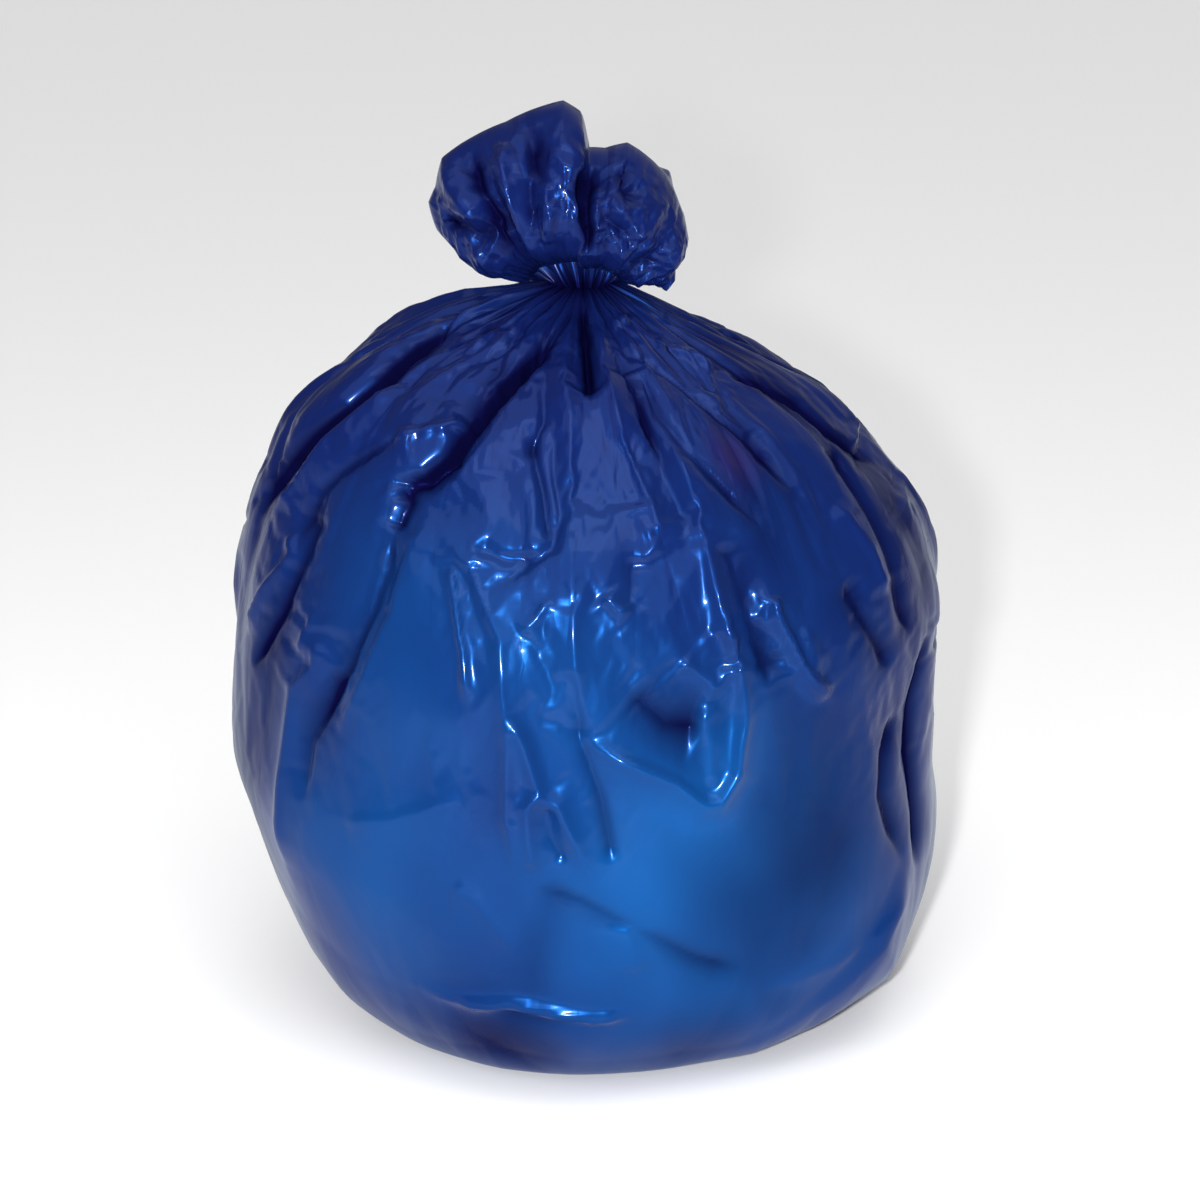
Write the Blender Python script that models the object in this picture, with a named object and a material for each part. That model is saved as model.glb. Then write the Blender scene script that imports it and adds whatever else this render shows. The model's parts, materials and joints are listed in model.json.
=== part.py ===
"""A full trash bag, tied at the neck, standing on its flattened underside.

The bag is one tube of thin film, sealed across the bottom and gathered at the neck,
with the free end crumpled into a tuft of two lobes above the tie. It can't be seen
into, so it is one closed solid. The front faces -Y, +Z is up, and the origin is on
the ground under the middle of the bag's outline.

Azimuths run from 0 at the right (+X) through 90 at the back to 270 at the front. A
drop is a distance down the outside of the film from the neck.
"""

import math

import bmesh
import bpy
import numpy as np

# Driving sizes, in metres.
NECK_HEIGHT = 0.520
NECK_REACH = 0.021
BELLY_LEFT = 0.250
BELLY_RIGHT = 0.248
BELLY_FRONT = 0.236
BELLY_BACK = 0.228
UNDERSIDE_REACH = 0.143
TUFT_REACH = 0.118
TUFT_DEPTH = 0.054
KNOT_SHIFT = -0.004
KNOT_RISE = 0.004
TUFT_LEAN = 0.030
NECK_SHARE = 0.13

# Pleats that start at the neck all round.
GATHER_COUNT = 37
GATHER_DEPTH = 0.006
GATHER_LENGTH = 0.060
FRONT_GATHER_SHARE = 0.4

# Long folds of the back and the sides, which the photo doesn't show.
BACK_FOLD_COUNT = 26
BACK_CREASE_COUNT = 16

# Facets that crumple the film: columns round the bag, length and height of a facet. They
# are strongest within the shoulder's run from the neck, and all relief fades out above
# the underside's edge.
BODY_FACETS = [(13, 0.105, 0.0045), (27, 0.060, 0.0026), (56, 0.034, 0.0013)]
TUFT_FACETS = [(18, 0.310, 0.0030), (38, 0.143, 0.0022)]
SEED = 11
SHOULDER_RUN = 0.28
FACET_FADE = 0.05
RIM_MARGIN = 0.012
RIM_FADE = 0.05

# Mesh fineness: the film is shaped on a fine grid and then thinned.
COLUMNS = 400
ROWS = 300
TUFT_ROWS = 84
TRIANGLES = 11400
FLAT_WITHIN = 0.0006
FILM_COLOUR = (0.010, 0.060, 0.320, 1.0)
FILM_ROUGHNESS = 0.22

# Sections between the underside's edge and the neck: the share of the neck's height,
# then the shares of the belly's reach to the left, right, front and back.
BODY_SECTIONS = [
    (0.023, 0.656, 0.774, 0.771, 0.789),
    (0.104, 0.788, 0.935, 0.924, 0.921),
    (0.231, 0.924, 1.000, 0.987, 0.987),
    (0.346, 1.000, 0.992, 1.000, 1.000),
    (0.462, 0.988, 0.980, 0.975, 0.974),
    (0.577, 0.952, 1.000, 0.919, 0.925),
    (0.669, 0.896, 0.944, 0.843, 0.855),
    (0.750, 0.824, 0.835, 0.754, 0.768),
    (0.827, 0.748, 0.698, 0.636, 0.658),
    (0.888, 0.616, 0.524, 0.496, 0.509),
    (0.938, 0.448, 0.339, 0.331, 0.342),
    (0.975, 0.264, 0.185, 0.186, 0.193),
]

# Folds of the front: height of the crest in mm, negative for a valley, its half widths
# in mm towards the lower and the higher azimuth where it runs down, and its points as
# azimuth in degrees and drop in mm.
FRONT_FOLDS = [
    # The pleats in the middle, under the tie.
    (-13, 4, 4, [(270.5, 8), (271.5, 60), (272.0, 100), (272.0, 117)]),
    (5, 9, 5, [(264.5, 15), (266.5, 80), (268.0, 180), (269.0, 280), (270.0, 348)]),
    (7, 5, 16, [(276.0, 15), (277.5, 90), (280.0, 155), (283.5, 205), (284.5, 230)]),
    (-7, 14, 4, [(283.5, 60), (286.0, 135), (287.5, 185), (290.5, 225)]),
    (8, 6, 8, [(290.0, 150), (291.0, 205), (292.0, 265), (293.5, 308)]),
    # The loop that the long pleat ends in, and the hollow inside it.
    (9, 4, 9, [(292.3, 262), (294.0, 303), (295.3, 340), (294.6, 378), (291.7, 395),
               (289.0, 395), (284.5, 378), (276.5, 362), (270.5, 350)]),
    (-6, 4, 14, [(294.3, 225), (295.3, 250), (297.2, 293), (299.5, 325)]),
    (-6, 14, 18, [(277.0, 318), (283.0, 340), (289.0, 345)]),
    # The deep fold left of the middle, the pocket it ends in and the crease below.
    (-17, 4, 6, [(257.5, 66), (254.0, 84), (250.2, 105), (248.0, 127), (246.0, 150),
                 (243.5, 172), (239.0, 188), (230.0, 197)]),
    (6, 5, 20, [(262.0, 70), (256.5, 100), (252.5, 130), (250.0, 160), (246.0, 186),
                (240.5, 205)]),
    (-9, 6, 8, [(234.0, 196), (236.0, 205), (234.3, 228)]),
    (-6, 8, 4, [(234.5, 222), (235.0, 252), (233.5, 280), (230.0, 318), (224.0, 368)]),
    (5, 6, 22, [(238.0, 205), (239.0, 240), (238.0, 280), (234.5, 320), (229.0, 368)]),
    # The black fold over the left shoulder and the ridge beside it.
    (-20, 6, 9, [(197.0, 42), (203.0, 66), (207.5, 92), (211.0, 120), (209.5, 150),
                 (204.0, 175), (199.0, 200), (194.0, 222), (186.0, 246)]),
    (8, 7, 14, [(217.0, 118), (217.5, 140), (213.0, 165), (208.5, 190), (203.0, 220),
                (197.0, 250)]),
    (-7, 10, 6, [(232.0, 158), (224.0, 178), (218.0, 193), (212.0, 213), (209.0, 262)]),
    (6, 5, 8, [(245.0, 141), (241.0, 150), (236.0, 157), (229.0, 168)]),
    # Creases left of the belly.
    (5, 4, 7, [(206.5, 246), (209.5, 262), (203.0, 295), (198.0, 328)]),
    (-6, 5, 7, [(214.5, 205), (213.5, 255), (210.0, 303), (207.0, 322), (202.0, 348)]),
    (5, 6, 12, [(223.0, 300), (222.5, 325), (217.5, 346), (216.0, 430), (214.0, 475)]),
    (-4, 12, 6, [(229.0, 322), (227.0, 345), (222.5, 372), (222.0, 420)]),
    # Pleats just left of the middle.
    (-6, 5, 4, [(259.5, 55), (261.0, 108), (262.0, 140), (259.0, 172)]),
    (-5, 5, 4, [(264.0, 118), (265.3, 178), (266.5, 205), (265.0, 228), (257.5, 250)]),
    (6, 4, 12, [(246.5, 228), (251.0, 242), (257.5, 288), (258.0, 315), (259.0, 355),
                (259.0, 400), (260.7, 447)]),
    (-5, 14, 10, [(251.0, 228), (257.0, 236), (262.0, 234)]),
    # The forked crease low in the middle.
    (6, 5, 5, [(259.5, 333), (261.5, 352), (264.0, 385), (266.5, 391), (272.5, 448)]),
    (5, 4, 4, [(264.0, 384), (262.2, 392), (262.3, 413), (263.2, 438)]),
    (-4, 5, 4, [(269.0, 300), (270.0, 348), (273.0, 383), (274.3, 412), (274.8, 432)]),
    # Creases right of the middle.
    (-6, 4, 7, [(289.0, 95), (290.0, 135), (293.0, 165), (296.5, 182), (303.5, 224)]),
    (-5, 5, 5, [(286.0, 72), (296.0, 90), (303.0, 115), (310.5, 160), (314.0, 204)]),
    (6, 12, 6, [(291.0, 48), (298.0, 43), (309.0, 38)]),
    (5, 6, 8, [(309.0, 66), (317.0, 80), (325.0, 104)]),
    (5, 10, 5, [(322.0, 75), (320.0, 100), (309.0, 135)]),
    (6, 4, 6, [(300.0, 270), (301.5, 288), (303.7, 308), (306.0, 325), (311.0, 342)]),
    (5, 4, 4, [(305.5, 284), (307.3, 312), (308.6, 326), (311.0, 341)]),
    # Folds of the right side.
    (-8, 10, 6, [(326.0, 108), (335.0, 128), (340.0, 150), (341.5, 172), (356.0, 214)]),
    (-6, 8, 6, [(337.0, 178), (333.0, 200), (330.0, 270), (330.5, 295), (334.0, 322)]),
    (-7, 9, 7, [(316.5, 262), (318.5, 290), (321.5, 310), (327.0, 336)]),
    (5, 8, 12, [(322.0, 215), (325.0, 253), (325.5, 285)]),
    (-6, 6, 8, [(332.0, 372), (328.5, 397), (327.3, 424), (333.0, 480)]),
    (-9, 8, 9, [(343.0, 325), (340.0, 365), (339.0, 405), (341.0, 450), (340.0, 500)]),
    # The rim where the front turns under, and the creases above it.
    (3.5, 6, 3, [(238.0, 536), (249.5, 543), (257.0, 535), (272.0, 546), (279.0, 543)]),
    (-4, 12, 5, [(262.0, 446), (270.0, 457), (281.7, 487), (288.0, 506), (297.0, 522)]),
    # Wide lumps that shape the outline.
    (9, 45, 45, [(322.0, 520), (333.0, 560), (345.0, 600)]),
    (-6, 22, 22, [(352.0, 190), (354.0, 240)]),
]

# Outline of the tuft from the front: direction from the knot in degrees and share of
# the tuft's reach. The cleft between the lobes is at 84 degrees.
TUFT_OUTLINE = [
    (-4, 0.52), (2, 0.57), (9, 0.58), (20, 0.69), (35, 0.73), (48, 0.78), (60, 0.81),
    (69, 0.83), (77, 0.76), (84, 0.75), (88, 0.95), (94, 1.02), (103, 1.00), (114, 0.98),
    (126, 1.00), (138, 1.03), (147, 0.96), (153, 0.95), (161, 0.85), (169, 0.66),
    (180, 0.36),
]

# Folds of the tuft's front, as above, with points in mm right of and above the knot.
TUFT_FOLDS = [
    (-14, 5, 6, [(10, 84), (8, 64), (10, 42), (9, 24)]),
    (-9, 5, 4, [(-71, 93), (-67, 72), (-57, 55), (-50, 36), (-36, 12)]),
    (6, 7, 6, [(-93, 80), (-80, 62), (-62, 52)]),
    (6, 4, 8, [(-96, 54), (-78, 54), (-60, 48)]),
    (-8, 8, 5, [(-92, 40), (-74, 40), (-54, 30)]),
    (6, 5, 5, [(-66, 30), (-58, 16), (-46, 10)]),
    (7, 5, 5, [(-44, 96), (-48, 84), (-42, 60), (-34, 34), (-24, 12)]),
    (-6, 5, 5, [(-31, 104), (-30, 88), (-31, 66), (-29, 48), (-25, 30)]),
    (6, 5, 4, [(-19, 78), (-19, 62), (-21, 40), (-18, 20)]),
    (5, 5, 4, [(6, 66), (0, 52), (-2, 34), (-4, 16)]),
    (6, 4, 4, [(14, 66), (14, 44), (13, 18)]),
    (-7, 5, 5, [(16, 58), (26, 48), (34, 42), (36, 30)]),
    (6, 5, 5, [(20, 60), (32, 54), (38, 44), (44, 34)]),
    (6, 4, 5, [(28, 40), (30, 26), (24, 10)]),
    (4, 9, 5, [(30, 20), (40, 8), (46, 0)]),
    (5, 6, 6, [(58, 66), (52, 48), (48, 34), (60, 26), (74, 26)]),
    (-6, 5, 5, [(30, 84), (34, 70), (46, 62)]),
]


def body_rings():
    """Height and reach to the left, right, front and back of each section, from the
    middle of the underside to the neck."""
    scale = np.array([NECK_HEIGHT, BELLY_LEFT, BELLY_RIGHT, BELLY_FRONT, BELLY_BACK])
    underside = [[0.0] + [UNDERSIDE_REACH * share] * 4 for share in (0.0, 0.5, 1.0)]
    neck = [[NECK_HEIGHT] + [NECK_REACH] * 4]
    return np.vstack([underside, np.array(BODY_SECTIONS) * scale, neck])


RINGS = body_rings()


def read_curve(table, place):
    """Rows of a table at fractional places, on a Catmull-Rom curve through them."""
    last = len(table) - 1
    low = np.clip(np.floor(place).astype(int), 0, last - 1)
    part = (place - low)[:, None]
    before, start, end, after = (table[np.clip(low + k, 0, last)] for k in (-1, 0, 1, 2))
    return 0.5 * (
        2 * start
        + (end - before) * part
        + (2 * before - 5 * start + 4 * end - after) * part**2
        + (3 * start - before - 3 * end + after) * part**3
    )


def film_run():
    """Fine places along the sections, with the drop and the mean reach at each."""
    fine = np.linspace(0, len(RINGS) - 1, 1600)
    rows = read_curve(RINGS, fine)
    reach = rows[:, 1:].mean(axis=1)
    steps = np.hypot(np.diff(reach), np.diff(rows[:, 0]))
    run = np.concatenate([[0.0], np.cumsum(steps)])
    return fine, run[-1] - run, reach


def body_form(azimuth, place):
    """The body without folds: each section is four quarter ellipses."""
    height, left, right, front, back = read_curve(RINGS, place).T
    across, deep = np.cos(azimuth), np.sin(azimuth)
    x = across * np.where(across > 0, right, left)
    y = deep * np.where(deep > 0, back, front)
    return np.stack([x, y, np.maximum(height, 0.0)], axis=1)


def tuft_form(azimuth, part):
    """The tuft without folds, from the neck at part 0 to the rim at part 1. Each
    column fans out from the knot to the outline, and the front and the back columns
    meet at the rim. Above a slim neck the section swells to the tuft's depth between
    them, and the right lobe leans to the front."""
    turn = azimuth % (2 * math.pi)
    across = np.where(turn > math.pi, turn / math.pi - 1, 1 - turn / math.pi)
    outline = np.array(TUFT_OUTLINE, dtype=float)
    degrees = outline[-1, 0] + (outline[0, 0] - outline[-1, 0]) * across
    reach = TUFT_REACH * np.interp(degrees, outline[:, 0], outline[:, 1])
    direction = np.radians(degrees)
    out = reach * (1 - (1 - part) ** 1.15)
    puff = np.clip((part - NECK_SHARE) / (1 - NECK_SHARE), 0, 1)
    swell = np.sin(math.pi * puff**0.80).clip(0) ** 0.62
    lean = np.clip((34 - degrees) / 38, 0, 1) * part
    side = np.sin(azimuth)
    x = KNOT_SHIFT * np.minimum(part * 4, 1) + out * np.cos(direction)
    x = x + NECK_REACH * np.cos(azimuth) * (1 - part)
    y = np.sign(side) * TUFT_DEPTH * np.abs(side) ** 0.62 * swell
    y = y + NECK_REACH * side * (1 - part) ** 2 - TUFT_LEAN * lean
    z = NECK_HEIGHT + KNOT_RISE * part + out * np.sin(direction)
    return np.stack([x, y, z], axis=1)


def outward(form, azimuth, place, last):
    """Unit normals of a form, from its slopes along both of its directions."""
    step = 1e-3
    above, below = np.minimum(place + step, last), np.maximum(place - step, 0)
    round_slope = form(azimuth + step, place) - form(azimuth - step, place)
    normal = np.cross(round_slope, form(azimuth, above) - form(azimuth, below))
    return normal / np.maximum(np.linalg.norm(normal, axis=1, keepdims=True), 1e-12)


def line_relief(right, down, points, height, low_width, high_width):
    """Lift of one fold along a line: highest on the line, falling off exponentially
    with the gap, at its own rate on either side, and fading at both ends."""
    gap = np.full(len(right), np.inf)
    side, share = np.zeros(len(right)), np.zeros(len(right))
    count = len(points) - 1
    for k, ((right_a, down_a), (right_b, down_b)) in enumerate(zip(points, points[1:])):
        dx, dy = right_b - right_a, down_b - down_a
        qx, qy = right - right_a, down - down_a
        along = np.clip((qx * dx + qy * dy) / (dx * dx + dy * dy + 1e-12), 0, 1)
        here = np.hypot(qx - along * dx, qy - along * dy)
        closer = here < gap
        gap = np.where(closer, here, gap)
        side = np.where(closer, dx * qy - dy * qx, side)
        share = np.where(closer, (k + along) / count, share)
    ends = np.clip(np.minimum(share, 1 - share) / 0.15, 0.15, 1)
    return height * ends * np.exp(-gap / np.where(side > 0, low_width, high_width))


def body_folds(azimuth, drop, reach, folds):
    """Sum of the folds over the body. Their widths are true ones, turned to azimuth by
    the reach at each point, and they shrink together where the film is gathered."""
    total = np.zeros(len(azimuth))
    slim = np.clip(reach / 0.10, 0.30, 1.0)
    for height, low_width, high_width, points in folds:
        middle = math.radians(sum(turn for turn, _ in points) / len(points))
        offset = (azimuth - middle + math.pi) % (2 * math.pi) - math.pi
        line = [((math.radians(turn) - middle) * reach, down / 1000) for turn, down in points]
        widths = low_width / 1000 * slim, high_width / 1000 * slim
        total += line_relief(offset * reach, drop, line, height / 1000 * slim, *widths)
    return total


def tuft_folds(points, folds):
    """Sum of the folds over the tuft, measured in its front view."""
    total = np.zeros(len(points))
    right, up = points[:, 0] - KNOT_SHIFT, points[:, 2] - NECK_HEIGHT - KNOT_RISE
    for height, low_width, high_width, line in folds:
        metres = [(x / 1000, z / 1000) for x, z in line]
        widths = low_width / 1000, high_width / 1000
        total += line_relief(right, up, metres, height / 1000, *widths)
    return total


def facets(round_place, down_place, columns, rng):
    """Random heights at the corners of a net of triangles, joined by flat facets. The
    net is bent by slow waves and closes on itself after the given columns."""
    table = rng.uniform(-1, 1, (columns, 257))
    bend_round, bend_down = np.zeros_like(round_place), np.zeros_like(round_place)
    for _ in range(5):
        waves = rng.integers(1, 5) * 2 * math.pi * round_place / columns
        drift = rng.uniform(0.15, 0.6) * down_place
        start_round, start_down = rng.uniform(0, 2 * math.pi, 2)
        bend_round += 0.25 * np.sin(waves + drift + start_round)
        bend_down += 0.25 * np.sin(waves - drift + start_down)
    v = down_place + bend_down
    u = round_place + bend_round - v / 2
    i, j = np.floor(u).astype(int), np.floor(v).astype(int)
    part_u, part_v = u - i, v - j
    corner = [[table[(i + a) % columns, (j + b) % 257] for b in (0, 1)] for a in (0, 1)]
    (near, above), (beside, far) = corner
    low = near + (beside - near) * part_u + (above - near) * part_v
    high = far + (above - far) * (1 - part_u) + (beside - far) * (1 - part_v)
    return np.where(part_u + part_v > 1, high, low)


def gathers(azimuth, drop, rng):
    """Irregular pleats round the neck, rounded on top and sharp between, that grow
    from the tie and die away down the shoulder."""
    spacing = rng.uniform(0.5, 1.5, GATHER_COUNT)
    edges = np.concatenate([[0.0], np.cumsum(spacing)]) * 2 * math.pi / spacing.sum()
    lengths = rng.uniform(0.45, 1.6, GATHER_COUNT) * GATHER_LENGTH
    turn = azimuth % (2 * math.pi)
    pleat = np.clip(np.searchsorted(edges, turn, side="right") - 1, 0, GATHER_COUNT - 1)
    part = (turn - edges[pleat]) / (edges[pleat + 1] - edges[pleat])
    here, ahead, before = lengths[pleat], lengths[(pleat + 1) % GATHER_COUNT], lengths[pleat - 1]
    beside = np.where(part > 0.5, ahead, before)
    length = here + (beside - here) * np.abs(part - 0.5)
    swell = drop / length * np.exp(1 - drop / length)
    frontness = 0.5 - 0.5 * np.sin(azimuth)
    share = 1 - (1 - FRONT_GATHER_SHARE) * frontness
    return GATHER_DEPTH * (np.sin(math.pi * part) - 0.62) * swell * share


def back_folds(rng):
    """Long folds and short slanting creases for the sides and the back, in the form
    of FRONT_FOLDS."""
    folds = []
    for k in range(BACK_FOLD_COUNT):
        turn = 2 + 186 * (k + rng.uniform(0.15, 0.85)) / BACK_FOLD_COUNT
        start, length, bend = rng.uniform(15, 150), rng.uniform(120, 330), rng.uniform(-6, 6)
        height = (-1 if k % 2 else 1) * rng.uniform(4, 10)
        widths = [rng.uniform(4, 8), rng.uniform(9, 22)]
        if rng.random() < 0.5:
            widths.reverse()
        shares = [step / 5 for step in range(6)]
        line = [(turn + bend * math.sin(2.4 * s + bend), start + length * s) for s in shares]
        folds.append((height, *widths, line))
    for _ in range(BACK_CREASE_COUNT):
        turn, start = rng.uniform(0, 185), rng.uniform(180, 460)
        length, slant = rng.uniform(40, 110), rng.uniform(-16, 16)
        height = rng.choice([-1, 1]) * rng.uniform(3, 5)
        line = [(turn, start), (turn + slant * 0.6, start + length / 2), (turn + slant, start + length)]
        folds.append((height, rng.uniform(4, 8), rng.uniform(4, 14), line))
    return folds


def back_tuft_folds(rng):
    """Folds that fan out from the knot over the tuft's back, in the form of
    TUFT_FOLDS."""
    folds = []
    for k in range(22):
        angle = math.radians(-8 + 190 * (k + rng.uniform(0.2, 0.8)) / 22)
        inner, outer, bend = rng.uniform(10, 40), rng.uniform(65, 110), rng.uniform(-0.2, 0.2)
        spots = [(inner, angle), ((inner + outer) / 2, angle + bend / 2), (outer, angle + bend)]
        line = [(far * math.cos(way), far * math.sin(way)) for far, way in spots]
        folds.append(((1 if k % 2 else -1) * rng.uniform(4, 9), 5, 6, line))
    return folds


def body_points(azimuth, drop):
    """Points of the finished body: its form moved along its normals by the folds, the
    gathers and the facets. The underside stays flat."""
    rng = np.random.default_rng(SEED)
    fine, drops, reaches = film_run()
    place = np.interp(drop, drops[::-1], fine[::-1])
    reach = np.interp(place, fine, reaches)
    lift = gathers(azimuth, drop, rng)
    lift += body_folds(azimuth, drop, reach, FRONT_FOLDS)
    lift += body_folds(azimuth, drop, reach, back_folds(rng))
    upper = np.clip(1.2 - drop / SHOULDER_RUN, 0, 1)
    backness = 0.5 + 0.5 * np.sin(azimuth)
    strengths = 0.55 + 0.3 * backness, 0.25 + 0.5 * upper + 0.25 * backness, 0.12 + 0.5 * upper
    for (columns, length, height), strength in zip(BODY_FACETS, strengths):
        net = facets(azimuth / (2 * math.pi) * columns, drop / length, columns, rng)
        lift += height * net * strength * np.clip(drop / FACET_FADE, 0, 1)
    room = np.clip((drops[0] - UNDERSIDE_REACH - RIM_MARGIN - drop) / RIM_FADE, 0, 1)
    points = body_form(azimuth, place)
    points += outward(body_form, azimuth, place, len(RINGS) - 1) * (lift * room)[:, None]
    points[:, 2] = np.maximum(points[:, 2], 0.0)
    return points


def tuft_points(azimuth, part):
    """Points of the finished tuft, folded in the same way. Its rim stays closed."""
    rng = np.random.default_rng(SEED)
    points = tuft_form(azimuth, part)
    frontness = np.clip(0.5 - 3 * np.sin(azimuth), 0, 1)
    lift = frontness * tuft_folds(points, TUFT_FOLDS)
    lift += (1 - frontness) * tuft_folds(points, back_tuft_folds(rng))
    for columns, length, height in TUFT_FACETS:
        lift += height * facets(azimuth / (2 * math.pi) * columns, part / length, columns, rng)
    puff = np.clip((part - NECK_SHARE) / (1 - NECK_SHARE), 0, 1)
    fade = np.clip(puff / 0.35, 0, 1) * np.clip((1 - part) / 0.12, 0, 1)
    return points + outward(tuft_form, azimuth, part, 1) * (lift * fade)[:, None]


def film_material():
    """Glossy deep blue polythene."""
    material = bpy.data.materials.new("blue_film")
    material.use_nodes = True
    shader = material.node_tree.nodes["Principled BSDF"]
    shader.inputs["Base Color"].default_value = FILM_COLOUR
    shader.inputs["Roughness"].default_value = FILM_ROUGHNESS
    shader.inputs["Metallic"].default_value = 0.0
    return material


def shape_sheet(shape):
    """Gives a flat grid the shape of the bag. Its columns go round the bag, and its rows
    run from the middle of the underside to the neck and on over the tuft. The columns
    mirror each other in pairs, front to back, so that they can be joined at the rim."""
    sheet = np.array([vertex.co for vertex in shape.verts])
    column = np.rint((sheet[:, 0] + 1) / 2 * COLUMNS)
    row = np.rint((sheet[:, 1] + 1) / 2 * ROWS)
    azimuth = (column + 0.5) / COLUMNS * 2 * math.pi
    body_rows = ROWS - TUFT_ROWS
    longest = film_run()[1][0]
    body = row <= body_rows
    points = np.zeros_like(sheet)
    points[body] = body_points(azimuth[body], longest * (1 - row[body] / body_rows))
    points[~body] = tuft_points(azimuth[~body], (row[~body] - body_rows) / TUFT_ROWS)
    middle = (points.min(axis=0) + points.max(axis=0)) / 2
    points[:, :2] -= middle[:2]
    for vertex, point in zip(shape.verts, points):
        vertex.co = point
    edge = (column == 0) | (column == COLUMNS) | (row == 0) | (row == ROWS)
    return [vertex for vertex, joined in zip(shape.verts, edge) if joined]


def flatten_underside(mesh):
    """Puts the points that thinning left just off the ground back on it."""
    for vertex in mesh.vertices:
        if vertex.co.z < FLAT_WITHIN:
            vertex.co.z = 0.0


def make_bag(collection):
    """The bag: a fine grid in the bag's shape, joined where its sides meet, at the middle
    of the underside and at the tuft's rim, and thinned to the wanted triangles."""
    shape = bmesh.new()
    bmesh.ops.create_grid(shape, x_segments=COLUMNS, y_segments=ROWS, size=1.0)
    edge = shape_sheet(shape)
    bmesh.ops.remove_doubles(shape, verts=edge, dist=0.00002)
    bmesh.ops.recalc_face_normals(shape, faces=shape.faces)
    bmesh.ops.triangulate(shape, faces=shape.faces)
    mesh = bpy.data.meshes.new("trash_bag")
    shape.to_mesh(mesh)
    shape.free()
    mesh.shade_smooth()
    bag = bpy.data.objects.new("trash_bag", mesh)
    bag.data.materials.append(film_material())
    collection.objects.link(bag)
    thin = bag.modifiers.new("thin", "DECIMATE")
    thin.decimate_type = "COLLAPSE"
    thin.ratio = TRIANGLES / len(mesh.polygons)
    bpy.context.view_layer.objects.active = bag
    bpy.ops.object.modifier_apply(modifier=thin.name)
    flatten_underside(bag.data)


def main():
    for item in list(bpy.data.objects):
        bpy.data.objects.remove(item)
    collection = bpy.data.collections.new("trash_bag")
    bpy.context.scene.collection.children.link(collection)
    make_bag(collection)


main()
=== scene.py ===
"""A full blue trash bag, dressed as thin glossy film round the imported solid.

The film is worked out in the bag's own two directions: azimuth, which runs from 0 at
the right (+X) through 90 at the back to 270 at the front, and drop, the distance down
the outside from the neck. A smooth form is moved along its normals by folds, gathers
and facets. The tuft above the tie is done in the same way, from the neck to its rim.
The body's film then settles as cloth, and the moves of that run are added.
"""

import json
import math

import bmesh
import bpy
import numpy as np
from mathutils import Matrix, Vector

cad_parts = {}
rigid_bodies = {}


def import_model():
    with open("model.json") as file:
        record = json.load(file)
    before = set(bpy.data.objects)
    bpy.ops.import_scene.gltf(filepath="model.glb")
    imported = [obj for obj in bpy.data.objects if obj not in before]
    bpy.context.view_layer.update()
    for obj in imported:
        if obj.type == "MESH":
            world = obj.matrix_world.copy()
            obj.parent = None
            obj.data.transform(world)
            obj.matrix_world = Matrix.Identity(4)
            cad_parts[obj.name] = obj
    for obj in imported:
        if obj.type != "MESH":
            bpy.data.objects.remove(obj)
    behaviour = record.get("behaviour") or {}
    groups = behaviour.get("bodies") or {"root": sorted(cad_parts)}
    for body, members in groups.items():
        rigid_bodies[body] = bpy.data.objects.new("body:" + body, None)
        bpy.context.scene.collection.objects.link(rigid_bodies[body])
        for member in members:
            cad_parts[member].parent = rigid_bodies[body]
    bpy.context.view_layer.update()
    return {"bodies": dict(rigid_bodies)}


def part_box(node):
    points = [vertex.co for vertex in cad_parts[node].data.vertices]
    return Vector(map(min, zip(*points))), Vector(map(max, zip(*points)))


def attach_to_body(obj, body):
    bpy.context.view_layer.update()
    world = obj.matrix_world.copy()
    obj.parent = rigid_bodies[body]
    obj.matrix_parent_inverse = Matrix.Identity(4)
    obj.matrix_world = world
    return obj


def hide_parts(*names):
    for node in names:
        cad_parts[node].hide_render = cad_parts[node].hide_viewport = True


bl_info = {
    "name": "Full Trash Bag",
    "version": (1, 0, 0),
    "blender": (4, 5, 0),
    "location": "View3D > Sidebar > Trash Bag",
    "description": "Builds the film of a full, tied trash bag and a plain studio for it",
    "category": "Add Mesh",
}

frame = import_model()
NODE = "trash_bag"
BODY = next(iter(frame["bodies"]))

# Driving sizes, in metres, the same as the solid's.
NECK_HEIGHT = 0.520
NECK_REACH = 0.021
BELLY_LEFT = 0.250
BELLY_RIGHT = 0.248
BELLY_FRONT = 0.236
BELLY_BACK = 0.228
UNDERSIDE_REACH = 0.143
TUFT_REACH = 0.118
TUFT_DEPTH = 0.054
KNOT_SHIFT = -0.004
KNOT_RISE = 0.004
TUFT_LEAN = 0.030
NECK_SHARE = 0.13

# Pleats that start at the neck all round.
GATHER_COUNT = 37
GATHER_DEPTH = 0.006
GATHER_LENGTH = 0.060
FRONT_GATHER_SHARE = 0.4
BACK_FOLD_COUNT = 26
BACK_CREASE_COUNT = 16

# Facets that crumple the film: columns round the bag, length and height of a facet.
# They weaken over the shoulder's run, grow from the tie, and end by the rim.
BODY_FACETS = [(13, 0.105, 0.0045), (27, 0.060, 0.0026), (56, 0.034, 0.0013)]
TUFT_FACETS = [(18, 0.310, 0.0030), (38, 0.143, 0.0022)]
SEED = 11
SHOULDER_RUN = 0.28
FACET_FADE = 0.05
RIM_MARGIN = 0.012
RIM_FADE = 0.05
CREST_ROUND = 0.0015

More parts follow.
